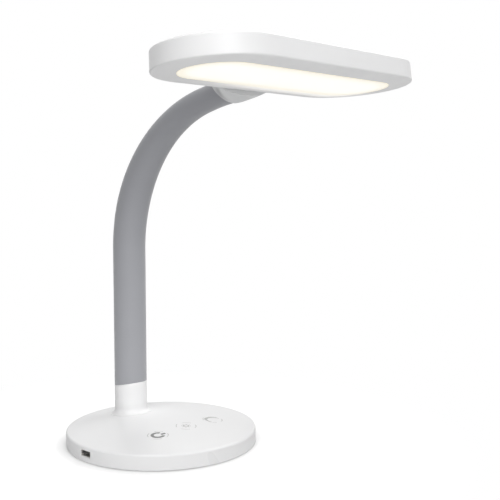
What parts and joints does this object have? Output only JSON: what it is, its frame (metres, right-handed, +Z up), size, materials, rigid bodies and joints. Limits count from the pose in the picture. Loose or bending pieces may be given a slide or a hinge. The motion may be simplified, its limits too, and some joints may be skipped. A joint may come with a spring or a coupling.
{
  "type": "light therapy lamp",
  "caption": "Desk light-therapy lamp: weighted round base with touch keys and a charging port, bendable tapered neck, flat long light head with opal window.",
  "frame": {"origin": "middle of the base where it rests on the table", "axes": "+Z up, -Y towards the user (the head reaches that way), +X along the head"},
  "size_m": [0.266, 0.3028, 0.3514],
  "materials": {
    "white_housing": "semi-gloss moulded",
    "head_housing": "semi-gloss moulded",
    "frame_plastic": "fine satin",
    "opal": "opal diffusing acrylic",
    "coupler_plastic": "fine satin",
    "sleeve": "matt soft-touch silicone",
    "gooseneck_steel": "formed strip",
    "steel": "plain",
    "zinc_screw": "zinc plated",
    "foot_rubber": "matt",
    "base_plastic": "fine texture",
    "board_green": "solder mask",
    "board_white": "white solder mask on aluminium",
    "component_black": "moulded",
    "led_package": "phosphor",
    "reflector_white": "white sheet",
    "port_steel": "nickel plated",
    "contact_foam": "conductive foam"
  },
  "bodies": {
    "base": {"base_cover": "white_housing", "neck_collar": "white_housing", "base_bottom": "base_plastic", "foot_ring": "foot_rubber", "base_screws": "zinc_screw", "ballast_weight": "steel", "main_board": "board_green", "board_parts": "component_black", "usb_shell": "port_steel", "usb_tongue": "component_black", "power_inlet": "component_black", "inlet_pin": "port_steel", "touch_board": "board_green", "touch_pads": "contact_foam", "touch_screws": "zinc_screw", "neck_anchor": "steel", "anchor_screws": "zinc_screw", "neck_sleeve_0": "sleeve", "neck_core_0": "gooseneck_steel"},
    "neck_link_1": {"neck_sleeve_1": "sleeve", "neck_core_1": "gooseneck_steel"},
    "neck_link_2": {"neck_sleeve_2": "sleeve", "neck_core_2": "gooseneck_steel"},
    "neck_link_3": {"neck_sleeve_3": "sleeve", "neck_core_3": "gooseneck_steel"},
    "neck_link_4": {"neck_sleeve_4": "sleeve", "neck_core_4": "gooseneck_steel"},
    "neck_link_5": {"neck_sleeve_5": "sleeve", "neck_core_5": "gooseneck_steel"},
    "neck_link_6": {"neck_sleeve_6": "sleeve", "neck_core_6": "gooseneck_steel"},
    "neck_link_7": {"neck_sleeve_7": "sleeve", "neck_core_7": "gooseneck_steel"},
    "neck_link_8": {"neck_sleeve_8": "sleeve", "neck_core_8": "gooseneck_steel"},
    "head": {"neck_sleeve_9": "sleeve", "neck_core_9": "gooseneck_steel", "neck_coupler": "coupler_plastic", "neck_end_bush": "steel", "clamp_plate": "steel", "clamp_screws": "zinc_screw", "head_shell": "head_housing", "head_frame": "frame_plastic", "diffuser": "opal", "reflector": "reflector_white", "led_board": "board_white", "leds": "led_package", "led_board_screws": "zinc_screw"}
  },
  "joints": [
    {"name": "neck_nod_1", "type": "hinge", "parent": "base", "child": "neck_link_1", "pos_m": [0, 0.046, 0.075], "axis": [1, 0, 0], "range_deg": [-22, 11]},
    {"name": "neck_sway_1", "type": "hinge", "parent": "neck_link_1", "child": "neck_link_2", "pos_m": [0, 0.046, 0.111], "axis": [0, 1, 0], "range_deg": [-18, 18]},
    {"name": "neck_nod_2", "type": "hinge", "parent": "neck_link_2", "child": "neck_link_3", "pos_m": [0, 0.046, 0.14701], "axis": [1, 0, 0], "range_deg": [-22, 11]},
    {"name": "neck_sway_2", "type": "hinge", "parent": "neck_link_3", "child": "neck_link_4", "pos_m": [0, 0.046, 0.18301], "axis": [0, 1, 0.0071], "range_deg": [-18, 18]},
    {"name": "neck_nod_3", "type": "hinge", "parent": "neck_link_4", "child": "neck_link_5", "pos_m": [0, 0.0412, 0.2186], "axis": [1, 0, 0], "range_deg": [-22, 11]},
    {"name": "neck_sway_3", "type": "hinge", "parent": "neck_link_5", "child": "neck_link_6", "pos_m": [0, 0.02763, 0.25184], "axis": [0, 0.8707, 0.4919], "range_deg": [-18, 18]},
    {"name": "neck_nod_4", "type": "hinge", "parent": "neck_link_6", "child": "neck_link_7", "pos_m": [0, 0.00616, 0.28063], "axis": [1, 0, 0], "range_deg": [-22, 11]},
    {"name": "neck_sway_4", "type": "hinge", "parent": "neck_link_7", "child": "neck_link_8", "pos_m": [0, -0.02184, 0.3031], "axis": [0, 0.5222, 0.8528], "range_deg": [-18, 18]},
    {"name": "neck_nod_5", "type": "hinge", "parent": "neck_link_8", "child": "head", "pos_m": [0, -0.05459, 0.31783], "axis": [1, 0, 0], "range_deg": [-22, 11]}
  ]
}
